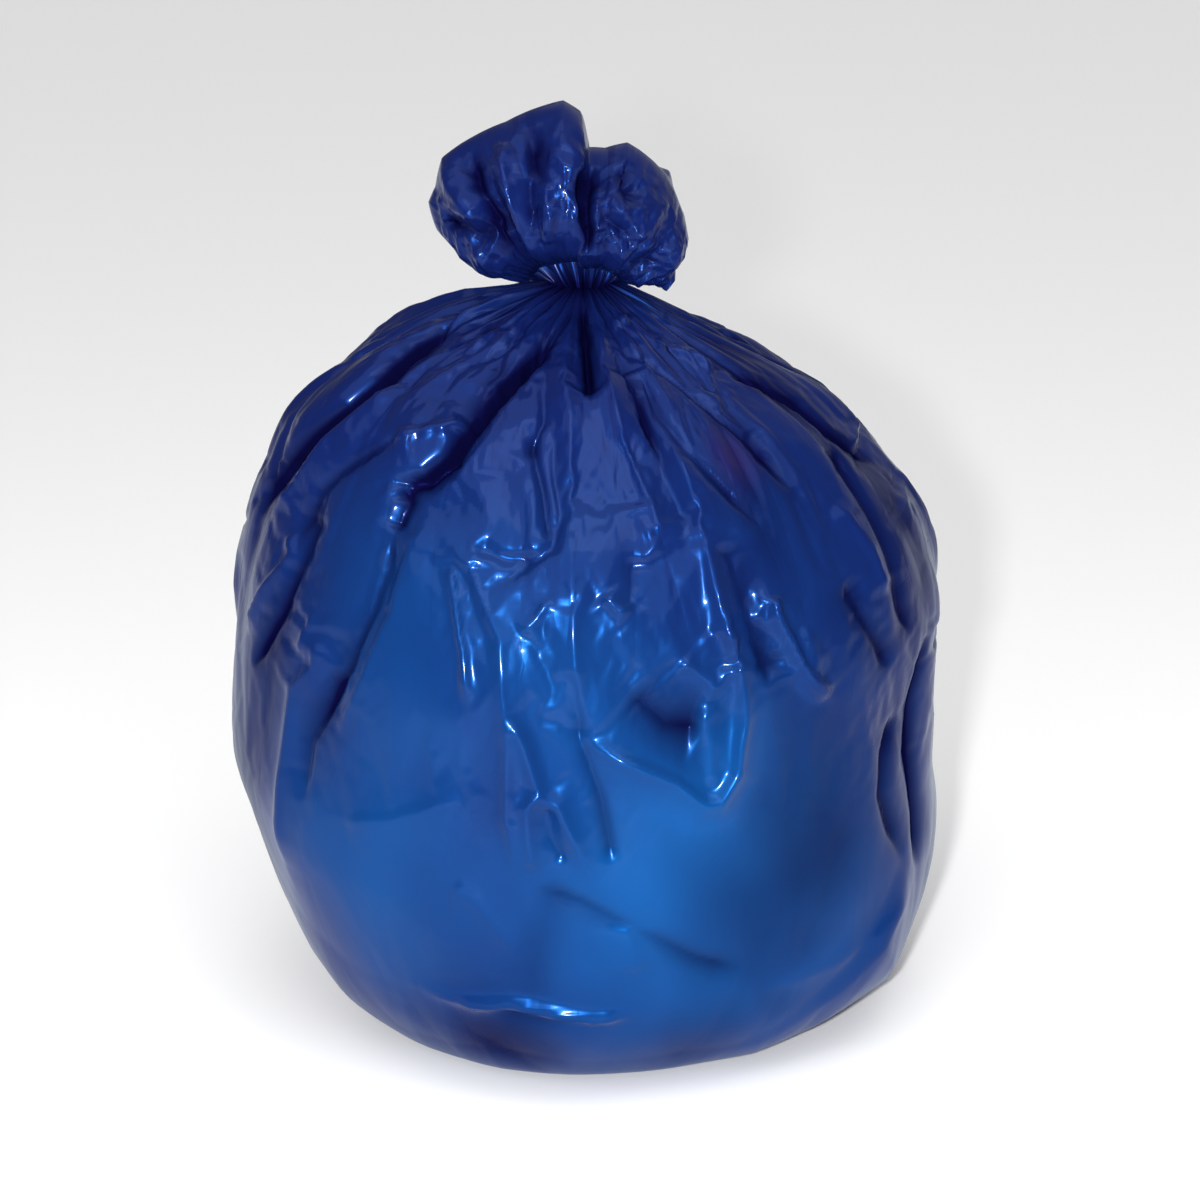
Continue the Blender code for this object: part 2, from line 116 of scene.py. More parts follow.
# Finer creases than the solid's: facets as above, and folds as in FRONT_FOLDS.
FINE_FACETS = [(11, 0.140, 0.0060), (25, 0.080, 0.0028), (40, 0.150, 0.0035),
               (84, 0.070, 0.0016), (110, 0.022, 0.0030), (190, 0.012, 0.0014)]
FINE_TUFT_FACETS = [(76, 0.070, 0.0014), (140, 0.036, 0.0007)]
FINE_FOLDS = [
    (4, 4, 6, [(285.0, 300), (288.5, 312), (291.5, 325)]),
    (3, 4, 5, [(288.5, 330), (290.5, 358), (290.8, 387)]),
    (3, 4, 4, [(221.0, 290), (218.0, 322)]),
    (4, 4, 5, [(260.5, 284), (263.5, 272), (265.0, 261)]),
    (-4, 4, 4, [(264.6, 392), (265.6, 412), (268.0, 430)]),
    (4, 5, 5, [(297.3, 283), (299.5, 268), (302.5, 275)]),
    (-5, 9, 9, [(352.0, 330), (352.0, 352)]),
    (4, 9, 6, [(280.5, 196), (281.5, 215), (283.5, 236)]),
    (-4, 5, 9, [(279.0, 232), (277.5, 268)]),
    (5, 5, 7, [(273.5, 258), (275.5, 266), (277.5, 272)]),
    (-3, 3, 6, [(252.0, 543), (264.0, 551), (277.0, 550)]),
    (6, 3, 4, [(246.0, 541), (252.0, 541), (258.0, 539), (272.0, 546), (277.0, 545)]),
    (-9, 2.5, 2.5, [(199.0, 50), (203.0, 66), (207.5, 92), (211.0, 120), (209.5, 150),
                    (204.0, 175), (199.0, 200), (194.0, 222)]),
    (-9, 2.5, 2.5, [(266.0, 6), (262.0, 35), (257.5, 66), (254.0, 84), (250.2, 105),
                    (248.0, 127), (246.0, 150), (243.5, 172)]),
    (-6, 2.5, 2.5, [(272.5, 20), (273.0, 60), (273.5, 100), (273.0, 125)]),
    (-5, 2.5, 2.5, [(279.0, 10), (281.0, 60), (285.0, 120), (287.0, 170)]),
    (-5, 2.5, 2.5, [(259.5, 150), (263.0, 190), (264.5, 225)]),
    (5, 2.5, 2.5, [(247.5, 240), (249.5, 265), (252.0, 300), (253.0, 330)]),
    (5, 2.5, 2.5, [(300.5, 262), (302.0, 285), (304.5, 310), (308.5, 334)]),
    (3, 12, 12, [(299.0, 540), (315.0, 535), (325.0, 522), (336.0, 504)]),
    (3, 12, 6, [(250.0, 450), (254.0, 458), (259.0, 496)]),
    (3, 14, 14, [(231.0, 421), (240.7, 412), (253.0, 388)]),
    (3, 8, 10, [(277.0, 472), (277.6, 492), (278.5, 510)]),
]
FINE_TUFT_FOLDS = [
    (-6, 4, 4, [(-56, 74), (-46, 50), (-34, 26), (-24, 8)]),
    (6, 4, 5, [(-12, 66), (-16, 48), (-18, 34)]),
    (4, 4, 5, [(-20, 92), (-12, 90), (-2, 84), (-4, 70)]),
    (-5, 6, 6, [(60, 14), (46, 20), (36, 14)]),
]

# Where something reddish among the contents shows faintly through the film.
HINT_AZIMUTH = 304.0
HINT_DROP = 0.172
HINT_REACH = 0.035
HINT_SHARE = 0.45
HINT_COLOUR = (0.035, 0.010, 0.070, 1)

# The film's look: the heights between which it comes to lie on the contents and turns
# from deep to bright, partly painted light; the painted shade towards the bottom and
# the flanks; the painted shade in its valleys; its bumps and its gloss.
CONTACT_HEIGHTS = (0.50, 0.16)
FOOT_SHADE_HEIGHT = 0.20
FOOT_SHADE_SHARE = 0.55
FLANK_SHADE = (0.10, 0.30)
PATCH_SCALE = 5.0
PATCH_RANGE = (0.25, 0.70)
VALLEY_SHADE_LIFTS = (-0.008, -0.001)
VALLEY_SHADE_COLOUR = (0.002, 0.002, 0.025, 1)
BUMP_STRETCH = (1.0, 1.0, 0.34)
RIDGE_SCALE = 16.0
RIDGE_SHARE = 0.6
PLANE_SCALE = 26.0
PLANE_EDGE = 0.25
BUMP_DROPS = (0.45, 0.10)
BUMP_STRENGTHS = (0.06, 0.30)
BUMP_HEIGHT = 0.003
FILM_ROUGHNESS = (0.22, 0.36)
FILM_IOR = 1.18
FILM_METALLIC = 0.20
COAT_WEIGHT = 0.24
COAT_IOR = 1.33
COAT_ROUGHNESS = 0.11

# Tight pleats where the film is tied, and the painted shade in them.
NECK_PLEATS = 20
NECK_PLEAT_DEPTH = 0.0070
NECK_PLEAT_RUN = 0.020
NECK_SHADE = 0.009

# Mesh fineness, and how much closer the columns lie at the front.
COLUMNS = 430
BODY_ROWS = 230
UNDER_ROWS = 8
LOW_ROWS = 60
LOW_RUN = 0.22
TUFT_COLUMNS = 400
TUFT_ROWS = 200
FRONT_CROWD = 0.50

# The loose film settles as cloth on a coarser grid: how far it grows, at most, how it
# bends, how hard it is blown out, how firmly it is held in its place, and where its
# moves end.
CLOTH_COLUMNS = 250
CLOTH_ROWS = 150
CLOTH_LOW_ROWS = 44
CLOTH_FRAMES = 15
CLOTH_GROWTH = 0.06
CLOTH_LEAST_GROWTH = 0.018
CLOTH_BEND = 0.05
CLOTH_PRESSURE = 0.8
CLOTH_HOLD = 0.045
CLOTH_END = 0.48
CLOTH_FADE = 0.20

# The studio, in metres, degrees and watts. The camera looks from the front, and each
# light has its azimuth, elevation, distance, size and power.
FLOOR_REACH = 14.0
WORLD_STRENGTH = 0.16
SENSOR_WIDTH = 36.0
VIEW_WIDTH = 0.84
CAMERA_DISTANCE = 2.6
CAMERA_ELEVATION = 18.0
CAMERA_TARGET = (0.010, 0.0, 0.293)
SOFT_LIGHTS = {
    "flash": (-3, 18, 2.6, (0.09, 0.07), 82),
    "front_box": (10, 56, 2.4, (1.5, 0.9), 12),
}
WIDE_LIGHTS = {"diffuser": (-8, 64, 85, 1.9), "back_fill": (155, 38, 70, 0.30)}

# Sections between the underside's edge and the neck: the share of the neck's height,
# then the shares of the belly's reach to the left, right, front and back.
BODY_SECTIONS = [
    (0.023, 0.656, 0.774, 0.771, 0.789),
    (0.104, 0.788, 0.935, 0.924, 0.921),
    (0.231, 0.924, 1.000, 0.987, 0.987),
    (0.346, 1.000, 0.992, 1.000, 1.000),
    (0.462, 0.988, 0.980, 0.975, 0.974),
    (0.577, 0.952, 1.000, 0.919, 0.925),
    (0.669, 0.896, 0.944, 0.843, 0.855),
    (0.750, 0.824, 0.835, 0.754, 0.768),
    (0.827, 0.748, 0.698, 0.636, 0.658),
    (0.888, 0.616, 0.524, 0.496, 0.509),
    (0.938, 0.448, 0.339, 0.331, 0.342),
    (0.975, 0.264, 0.185, 0.186, 0.193),
]

# Folds of the front: height of the crest in mm, negative for a valley, its half widths
# in mm towards the lower and the higher azimuth where it runs down, and its points as
# azimuth in degrees and drop in mm.
FRONT_FOLDS = [
    # The pleats in the middle, under the tie.
    (-13, 4, 4, [(270.5, 8), (271.5, 60), (272.0, 100), (272.0, 117)]),
    (5, 9, 5, [(264.5, 15), (266.5, 80), (268.0, 180), (269.0, 280), (270.0, 348)]),
    (7, 5, 16, [(276.0, 15), (277.5, 90), (280.0, 155), (283.5, 205), (284.5, 230)]),
    (-7, 14, 4, [(283.5, 60), (286.0, 135), (287.5, 185), (290.5, 225)]),
    (8, 6, 8, [(290.0, 150), (291.0, 205), (292.0, 265), (293.5, 308)]),
    # The loop that the long pleat ends in, and the hollow inside it.
    (9, 4, 9, [(292.3, 262), (294.0, 303), (295.3, 340), (294.6, 378), (291.7, 395),
               (289.0, 395), (284.5, 378), (276.5, 362), (270.5, 350)]),
    (-6, 4, 14, [(294.3, 225), (295.3, 250), (297.2, 293), (299.5, 325)]),
    (-6, 14, 18, [(277.0, 318), (283.0, 340), (289.0, 345)]),
    # The deep fold left of the middle, the pocket it ends in and the crease below.
    (-17, 4, 6, [(257.5, 66), (254.0, 84), (250.2, 105), (248.0, 127), (246.0, 150),
                 (243.5, 172), (239.0, 188), (230.0, 197)]),
    (6, 5, 20, [(262.0, 70), (256.5, 100), (252.5, 130), (250.0, 160), (246.0, 186),
                (240.5, 205)]),
    (-9, 6, 8, [(234.0, 196), (236.0, 205), (234.3, 228)]),
    (-6, 8, 4, [(234.5, 222), (235.0, 252), (233.5, 280), (230.0, 318), (224.0, 368)]),
    (5, 6, 22, [(238.0, 205), (239.0, 240), (238.0, 280), (234.5, 320), (229.0, 368)]),
    # The black fold over the left shoulder and the ridge beside it.
    (-20, 6, 9, [(197.0, 42), (203.0, 66), (207.5, 92), (211.0, 120), (209.5, 150),
                 (204.0, 175), (199.0, 200), (194.0, 222), (186.0, 246)]),
    (8, 7, 14, [(217.0, 118), (217.5, 140), (213.0, 165), (208.5, 190), (203.0, 220),
                (197.0, 250)]),
    (-7, 10, 6, [(232.0, 158), (224.0, 178), (218.0, 193), (212.0, 213), (209.0, 262)]),
    (6, 5, 8, [(245.0, 141), (241.0, 150), (236.0, 157), (229.0, 168)]),
    # Creases left of the belly.
    (5, 4, 7, [(206.5, 246), (209.5, 262), (203.0, 295), (198.0, 328)]),
    (-6, 5, 7, [(214.5, 205), (213.5, 255), (210.0, 303), (207.0, 322), (202.0, 348)]),
    (5, 6, 12, [(223.0, 300), (222.5, 325), (217.5, 346), (216.0, 430), (214.0, 475)]),
    (-4, 12, 6, [(229.0, 322), (227.0, 345), (222.5, 372), (222.0, 420)]),
    # Pleats just left of the middle.
    (-6, 5, 4, [(259.5, 55), (261.0, 108), (262.0, 140), (259.0, 172)]),
    (-5, 5, 4, [(264.0, 118), (265.3, 178), (266.5, 205), (265.0, 228), (257.5, 250)]),
    (6, 4, 12, [(246.5, 228), (251.0, 242), (257.5, 288), (258.0, 315), (259.0, 355),
                (259.0, 400), (260.7, 447)]),
    (-5, 14, 10, [(251.0, 228), (257.0, 236), (262.0, 234)]),
    # The forked crease low in the middle.
    (6, 5, 5, [(259.5, 333), (261.5, 352), (264.0, 385), (266.5, 391), (272.5, 448)]),
    (5, 4, 4, [(264.0, 384), (262.2, 392), (262.3, 413), (263.2, 438)]),
    (-4, 5, 4, [(269.0, 300), (270.0, 348), (273.0, 383), (274.3, 412), (274.8, 432)]),
    # Creases right of the middle.
    (-6, 4, 7, [(289.0, 95), (290.0, 135), (293.0, 165), (296.5, 182), (303.5, 224)]),
    (-5, 5, 5, [(286.0, 72), (296.0, 90), (303.0, 115), (310.5, 160), (314.0, 204)]),
    (6, 12, 6, [(291.0, 48), (298.0, 43), (309.0, 38)]),
    (5, 6, 8, [(309.0, 66), (317.0, 80), (325.0, 104)]),
    (5, 10, 5, [(322.0, 75), (320.0, 100), (309.0, 135)]),
    (6, 4, 6, [(300.0, 270), (301.5, 288), (303.7, 308), (306.0, 325), (311.0, 342)]),
    (5, 4, 4, [(305.5, 284), (307.3, 312), (308.6, 326), (311.0, 341)]),
    # Folds of the right side.
    (-8, 10, 6, [(326.0, 108), (335.0, 128), (340.0, 150), (341.5, 172), (356.0, 214)]),
    (-6, 8, 6, [(337.0, 178), (333.0, 200), (330.0, 270), (330.5, 295), (334.0, 322)]),
    (-7, 9, 7, [(316.5, 262), (318.5, 290), (321.5, 310), (327.0, 336)]),
    (5, 8, 12, [(322.0, 215), (325.0, 253), (325.5, 285)]),
    (-6, 6, 8, [(332.0, 372), (328.5, 397), (327.3, 424), (333.0, 480)]),
    (-9, 8, 9, [(343.0, 325), (340.0, 365), (339.0, 405), (341.0, 450), (340.0, 500)]),
    # The rim where the front turns under, and the creases above it.
    (3.5, 6, 3, [(238.0, 536), (249.5, 543), (257.0, 535), (272.0, 546), (279.0, 543)]),
    (-4, 12, 5, [(262.0, 446), (270.0, 457), (281.7, 487), (288.0, 506), (297.0, 522)]),
    # Wide lumps that shape the outline.
    (9, 45, 45, [(322.0, 520), (333.0, 560), (345.0, 600)]),
    (-6, 22, 22, [(352.0, 190), (354.0, 240)]),
]

# Outline of the tuft from the front: direction from the knot in degrees and share of
# the tuft's reach. The cleft between the lobes is at 84 degrees.
TUFT_OUTLINE = [
    (-4, 0.52), (2, 0.57), (9, 0.58), (20, 0.69), (35, 0.73), (48, 0.78), (60, 0.81),
    (69, 0.83), (77, 0.76), (84, 0.75), (88, 0.95), (94, 1.02), (103, 1.00), (114, 0.98),
    (126, 1.00), (138, 1.03), (147, 0.96), (153, 0.95), (161, 0.85), (169, 0.66),
    (180, 0.36),
]

# Folds of the tuft's front, as above, with points in mm right of and above the knot.
TUFT_FOLDS = [
    (-14, 5, 6, [(10, 84), (8, 64), (10, 42), (9, 24)]),
    (-9, 5, 4, [(-71, 93), (-67, 72), (-57, 55), (-50, 36), (-36, 12)]),
    (6, 7, 6, [(-93, 80), (-80, 62), (-62, 52)]),
    (6, 4, 8, [(-96, 54), (-78, 54), (-60, 48)]),
    (-8, 8, 5, [(-92, 40), (-74, 40), (-54, 30)]),
    (6, 5, 5, [(-66, 30), (-58, 16), (-46, 10)]),
    (7, 5, 5, [(-44, 96), (-48, 84), (-42, 60), (-34, 34), (-24, 12)]),
    (-6, 5, 5, [(-31, 104), (-30, 88), (-31, 66), (-29, 48), (-25, 30)]),
    (6, 5, 4, [(-19, 78), (-19, 62), (-21, 40), (-18, 20)]),
    (5, 5, 4, [(6, 66), (0, 52), (-2, 34), (-4, 16)]),
    (6, 4, 4, [(14, 66), (14, 44), (13, 18)]),
    (-7, 5, 5, [(16, 58), (26, 48), (34, 42), (36, 30)]),
    (6, 5, 5, [(20, 60), (32, 54), (38, 44), (44, 34)]),
    (6, 4, 5, [(28, 40), (30, 26), (24, 10)]),
    (4, 9, 5, [(30, 20), (40, 8), (46, 0)]),
    (5, 6, 6, [(58, 66), (52, 48), (48, 34), (60, 26), (74, 26)]),
    (-6, 5, 5, [(30, 84), (34, 70), (46, 62)]),
]


def body_rings():
    """Height and reach to the left, right, front and back of each section, from the
    middle of the underside to the neck."""
    scale = np.array([NECK_HEIGHT, BELLY_LEFT, BELLY_RIGHT, BELLY_FRONT, BELLY_BACK])
    underside = [[0.0] + [UNDERSIDE_REACH * share] * 4 for share in (0.0, 0.5, 1.0)]
    neck = [[NECK_HEIGHT] + [NECK_REACH] * 4]
    return np.vstack([underside, np.array(BODY_SECTIONS) * scale, neck])


RINGS = body_rings()


def read_curve(table, place):
    """Rows of a table at fractional places, on a Catmull-Rom curve through them."""
    last = len(table) - 1
    low = np.clip(np.floor(place).astype(int), 0, last - 1)
    part = (place - low)[:, None]
    before, start, end, after = (table[np.clip(low + k, 0, last)] for k in (-1, 0, 1, 2))
    return 0.5 * (
        2 * start
        + (end - before) * part
        + (2 * before - 5 * start + 4 * end - after) * part**2
        + (3 * start - before - 3 * end + after) * part**3
    )


def film_run():
    """Fine places along the sections, with the drop and the mean reach at each."""
    fine = np.linspace(0, len(RINGS) - 1, 1600)
    rows = read_curve(RINGS, fine)
    reach = rows[:, 1:].mean(axis=1)
    steps = np.hypot(np.diff(reach), np.diff(rows[:, 0]))
    run = np.concatenate([[0.0], np.cumsum(steps)])
    return fine, run[-1] - run, reach


def body_form(azimuth, place):
    """The body without folds: each section is four quarter ellipses."""
    height, left, right, front, back = read_curve(RINGS, place).T
    across, deep = np.cos(azimuth), np.sin(azimuth)
    x = across * np.where(across > 0, right, left)
    y = deep * np.where(deep > 0, back, front)
    return np.stack([x, y, np.maximum(height, 0.0)], axis=1)


def tuft_form(azimuth, part):
    """The tuft without folds, from the neck at part 0 to the rim at part 1. Each
    column fans out from the knot to the outline, and the front and the back columns
    meet at the rim. Above a slim neck the section swells to the tuft's depth between
    them, and the right lobe leans to the front."""
    turn = azimuth % (2 * math.pi)
    across = np.where(turn > math.pi, turn / math.pi - 1, 1 - turn / math.pi)
    outline = np.array(TUFT_OUTLINE, dtype=float)
    degrees = outline[-1, 0] + (outline[0, 0] - outline[-1, 0]) * across
    reach = TUFT_REACH * np.interp(degrees, outline[:, 0], outline[:, 1])
    direction = np.radians(degrees)
    out = reach * (1 - (1 - part) ** 1.15)
    puff = np.clip((part - NECK_SHARE) / (1 - NECK_SHARE), 0, 1)
    swell = np.sin(math.pi * puff**0.80).clip(0) ** 0.62
    lean = np.clip((34 - degrees) / 38, 0, 1) * part
    side = np.sin(azimuth)
    x = KNOT_SHIFT * np.minimum(part * 4, 1) + out * np.cos(direction)
    x = x + NECK_REACH * np.cos(azimuth) * (1 - part)
    y = np.sign(side) * TUFT_DEPTH * np.abs(side) ** 0.62 * swell
    y = y + NECK_REACH * side * (1 - part) ** 2 - TUFT_LEAN * lean
    z = NECK_HEIGHT + KNOT_RISE * part + out * np.sin(direction)
    return np.stack([x, y, z], axis=1)


def outward(form, azimuth, place, last):
    """Unit normals of a form, from its slopes along both of its directions."""
    step = 1e-3
    above, below = np.minimum(place + step, last), np.maximum(place - step, 0)
    round_slope = form(azimuth + step, place) - form(azimuth - step, place)
    normal = np.cross(round_slope, form(azimuth, above) - form(azimuth, below))
    return normal / np.maximum(np.linalg.norm(normal, axis=1, keepdims=True), 1e-12)


def line_relief(right, down, points, height, low_width, high_width):
    """Lift of one fold along a line: highest on the line, falling off exponentially
    with the gap, at its own rate on either side, and fading at both ends. The crest is
    rounded by CREST_ROUND, so that the gap counts as hypot(gap, round) - round."""
    gap = np.full(len(right), np.inf)
    side, share = np.zeros(len(right)), np.zeros(len(right))
    count = len(points) - 1
    for k, ((right_a, down_a), (right_b, down_b)) in enumerate(zip(points, points[1:])):
        dx, dy = right_b - right_a, down_b - down_a
        qx, qy = right - right_a, down - down_a
        along = np.clip((qx * dx + qy * dy) / (dx * dx + dy * dy + 1e-12), 0, 1)
        here = np.hypot(qx - along * dx, qy - along * dy)
        closer = here < gap
        gap = np.where(closer, here, gap)
        side = np.where(closer, dx * qy - dy * qx, side)
        share = np.where(closer, (k + along) / count, share)
    ends = np.clip(np.minimum(share, 1 - share) / 0.15, 0.15, 1)
    away = np.hypot(gap, CREST_ROUND) - CREST_ROUND
    return height * ends * np.exp(-away / np.where(side > 0, low_width, high_width))


def body_folds(azimuth, drop, reach, folds):
    """Sum of the folds over the body. Their widths are true ones, turned to azimuth by
    the reach at each point, and they shrink together where the film is gathered."""
    total = np.zeros(len(azimuth))
    slim = np.clip(reach / 0.10, 0.30, 1.0)
    for height, low_width, high_width, points in folds:
        middle = math.radians(sum(turn for turn, _ in points) / len(points))
        offset = (azimuth - middle + math.pi) % (2 * math.pi) - math.pi
        line = [((math.radians(turn) - middle) * reach, down / 1000) for turn, down in points]
        widths = low_width / 1000 * slim, high_width / 1000 * slim
        total += line_relief(offset * reach, drop, line, height / 1000 * slim, *widths)
    return total


def tuft_folds(points, folds):
    """Sum of the folds over the tuft, measured in its front view."""
    total = np.zeros(len(points))
    right, up = points[:, 0] - KNOT_SHIFT, points[:, 2] - NECK_HEIGHT - KNOT_RISE
    for height, low_width, high_width, line in folds:
        metres = [(x / 1000, z / 1000) for x, z in line]
        widths = low_width / 1000, high_width / 1000
        total += line_relief(right, up, metres, height / 1000, *widths)
    return total


def facets(round_place, down_place, columns, rng):
    """Random heights at the corners of a net of triangles, joined by flat facets. The
    net is bent by slow waves and closes on itself after the given columns."""
    table = rng.uniform(-1, 1, (columns, 257))
    bend_round, bend_down = np.zeros_like(round_place), np.zeros_like(round_place)
    for _ in range(5):
        waves = rng.integers(1, 5) * 2 * math.pi * round_place / columns
        drift = rng.uniform(0.15, 0.6) * down_place
        start_round, start_down = rng.uniform(0, 2 * math.pi, 2)
        bend_round += 0.25 * np.sin(waves + drift + start_round)
        bend_down += 0.25 * np.sin(waves - drift + start_down)
    v = down_place + bend_down
    u = round_place + bend_round - v / 2
    i, j = np.floor(u).astype(int), np.floor(v).astype(int)
    part_u, part_v = u - i, v - j
    corner = [[table[(i + a) % columns, (j + b) % 257] for b in (0, 1)] for a in (0, 1)]
    (near, above), (beside, far) = corner
    low = near + (beside - near) * part_u + (above - near) * part_v
    high = far + (above - far) * (1 - part_u) + (beside - far) * (1 - part_v)
    return np.where(part_u + part_v > 1, high, low)


def gathers(azimuth, drop, rng):
    """Irregular pleats round the neck, rounded on top and sharp between, that grow
    from the tie and die away down the shoulder."""
    spacing = rng.uniform(0.5, 1.5, GATHER_COUNT)
    edges = np.concatenate([[0.0], np.cumsum(spacing)]) * 2 * math.pi / spacing.sum()
    lengths = rng.uniform(0.45, 1.6, GATHER_COUNT) * GATHER_LENGTH
    turn = azimuth % (2 * math.pi)
    pleat = np.clip(np.searchsorted(edges, turn, side="right") - 1, 0, GATHER_COUNT - 1)
    part = (turn - edges[pleat]) / (edges[pleat + 1] - edges[pleat])
    here, ahead, before = lengths[pleat], lengths[(pleat + 1) % GATHER_COUNT], lengths[pleat - 1]
    beside = np.where(part > 0.5, ahead, before)
    length = here + (beside - here) * np.abs(part - 0.5)
    swell = drop / length * np.exp(1 - drop / length)
    frontness = 0.5 - 0.5 * np.sin(azimuth)
    share = 1 - (1 - FRONT_GATHER_SHARE) * frontness
    return GATHER_DEPTH * (np.sin(math.pi * part) - 0.62) * swell * share


def back_folds(rng):
    """Long folds and short slanting creases for the sides and the back, in the form
    of FRONT_FOLDS."""
    folds = []
    for k in range(BACK_FOLD_COUNT):
        turn = 2 + 186 * (k + rng.uniform(0.15, 0.85)) / BACK_FOLD_COUNT
        start, length, bend = rng.uniform(15, 150), rng.uniform(120, 330), rng.uniform(-6, 6)
        height = (-1 if k % 2 else 1) * rng.uniform(4, 10)
        widths = [rng.uniform(4, 8), rng.uniform(9, 22)]
        if rng.random() < 0.5:
            widths.reverse()
        shares = [step / 5 for step in range(6)]
        line = [(turn + bend * math.sin(2.4 * s + bend), start + length * s) for s in shares]
        folds.append((height, *widths, line))
    for _ in range(BACK_CREASE_COUNT):
        turn, start = rng.uniform(0, 185), rng.uniform(180, 460)
        length, slant = rng.uniform(40, 110), rng.uniform(-16, 16)
        height = rng.choice([-1, 1]) * rng.uniform(3, 5)
        line = [(turn, start), (turn + slant * 0.6, start + length / 2), (turn + slant, start + length)]
        folds.append((height, rng.uniform(4, 8), rng.uniform(4, 14), line))
    return folds


def back_tuft_folds(rng):
    """Folds that fan out from the knot over the tuft's back, in the form of
    TUFT_FOLDS."""
    folds = []
    for k in range(22):
        angle = math.radians(-8 + 190 * (k + rng.uniform(0.2, 0.8)) / 22)
        inner, outer, bend = rng.uniform(10, 40), rng.uniform(65, 110), rng.uniform(-0.2, 0.2)
        spots = [(inner, angle), ((inner + outer) / 2, angle + bend / 2), (outer, angle + bend)]
        line = [(far * math.cos(way), far * math.sin(way)) for far, way in spots]
        folds.append(((1 if k % 2 else -1) * rng.uniform(4, 9), 5, 6, line))
    return folds


def body_points(azimuth, drop):
    """Points of the finished body and, for its colours, how far each was lifted, less a painted shade
    at the neck.

    The form is moved along its normals by the sum of the gathers, the front and the
    back folds and three sizes of facets. The facets are strong near the neck and on
    the left shoulder and faint low on the front. The underside stays flat."""
    rng = np.random.default_rng(SEED)
    fine, drops, reaches = film_run()
    place = np.interp(drop, drops[::-1], fine[::-1])
    reach = np.interp(place, fine, reaches)
    lift = gathers(azimuth, drop, rng)
    lift += body_folds(azimuth, drop, reach, FRONT_FOLDS)
    lift += body_folds(azimuth, drop, reach, back_folds(rng))
    upper = np.clip(1.2 - drop / SHOULDER_RUN, 0, 1)
    backness = 0.5 + 0.5 * np.sin(azimuth)
    strengths = 0.55 + 0.3 * backness, 0.25 + 0.5 * upper + 0.25 * backness, 0.12 + 0.5 * upper
    for (columns, length, height), strength in zip(BODY_FACETS, strengths):
        net = facets(azimuth / (2 * math.pi) * columns, drop / length, columns, rng)
        lift += height * net * strength * np.clip(drop / FACET_FADE, 0, 1)
    lift += fine_crumple(azimuth, drop, reach)
    room = np.clip((drops[0] - UNDERSIDE_REACH - RIM_MARGIN - drop) / RIM_FADE, 0, 1)
    points = body_form(azimuth, place)
    points += outward(body_form, azimuth, place, len(RINGS) - 1) * (lift * room)[:, None]
    points += neck_pleats(azimuth, drop)
    points[:, 2] = np.maximum(points[:, 2], 0.0)
    # The lift that sets the colour takes a painted shade at the neck.
    return points, lift * room - NECK_SHADE * np.exp(-drop / NECK_PLEAT_RUN)


def neck_pleats(azimuth, away):
    """Inward moves that pleat the film where it is tied: rounded folds with sharp
    valleys between, dying away with the distance from the tie on either side."""
    bend = 0.9 * np.sin(2 * azimuth + 0.7) + 0.6 * np.sin(3 * azimuth + 2.1)
    valley = 1 - np.abs(np.sin(NECK_PLEATS / 2 * azimuth + bend))
    inward = NECK_PLEAT_DEPTH * valley * np.exp(-away / NECK_PLEAT_RUN)
    return -inward[:, None] * np.stack([np.cos(azimuth), np.sin(azimuth), 0 * azimuth], axis=1)


def fine_crumple(azimuth, drop, reach):
    """Small facets and creases that the solid leaves out: long ones that fan out from
    the neck, a dense patch on the left shoulder, and a light crumple elsewhere that
    fades out low on the front."""
    rng = np.random.default_rng(SEED + 7)
    degrees = np.degrees(azimuth) % 360
    patch = np.exp(-(((degrees - 222) / 26) ** 2) - ((drop - 0.085) / 0.055) ** 2)
    upper = np.clip(1.2 - drop / 0.30, 0, 1)
    lift = np.zeros(len(azimuth))
    low = 1 - 0.4 * upper
    shares = [low, low, 0.12 + 0.9 * upper, 0.05 + 0.6 * upper, 0.1 * upper + patch, patch]
    for (columns, length, height), share in zip(FINE_FACETS, shares):
        net = facets(azimuth / (2 * math.pi) * columns, drop / length, columns, rng)
        lift += height * net * share
    lift += body_folds(azimuth, drop, reach, FINE_FOLDS)
    return lift * np.clip(drop / 0.03, 0, 1)


def tuft_points(azimuth, part):
    """Points of the finished tuft, folded in the same way, and their lift, less a painted shade at the
    neck.
    """
    rng = np.random.default_rng(SEED)
    points = tuft_form(azimuth, part)
    frontness = np.clip(0.5 - 3 * np.sin(azimuth), 0, 1)
    lift = frontness * tuft_folds(points, TUFT_FOLDS + FINE_TUFT_FOLDS)
    lift += (1 - frontness) * tuft_folds(points, back_tuft_folds(rng))
    for columns, length, height in TUFT_FACETS:
        lift += height * facets(azimuth / (2 * math.pi) * columns, part / length, columns, rng)
    for columns, length, height in FINE_TUFT_FACETS:
        lift += height * facets(azimuth / (2 * math.pi) * columns, part / length, columns, rng)
    puff = np.clip((part - NECK_SHARE) / (1 - NECK_SHARE), 0, 1)
    lift *= np.clip(puff / 0.35, 0, 1) * np.clip((1 - part) / 0.12, 0, 1)
    points += neck_pleats(azimuth, TUFT_REACH * part) * (1 - part)[:, None]
    points += outward(tuft_form, azimuth, part, 1) * lift[:, None]
    # The lift that sets the colour takes a painted shade at the neck.
    return points, lift - NECK_SHADE * np.exp(-TUFT_REACH * part / NECK_PLEAT_RUN)


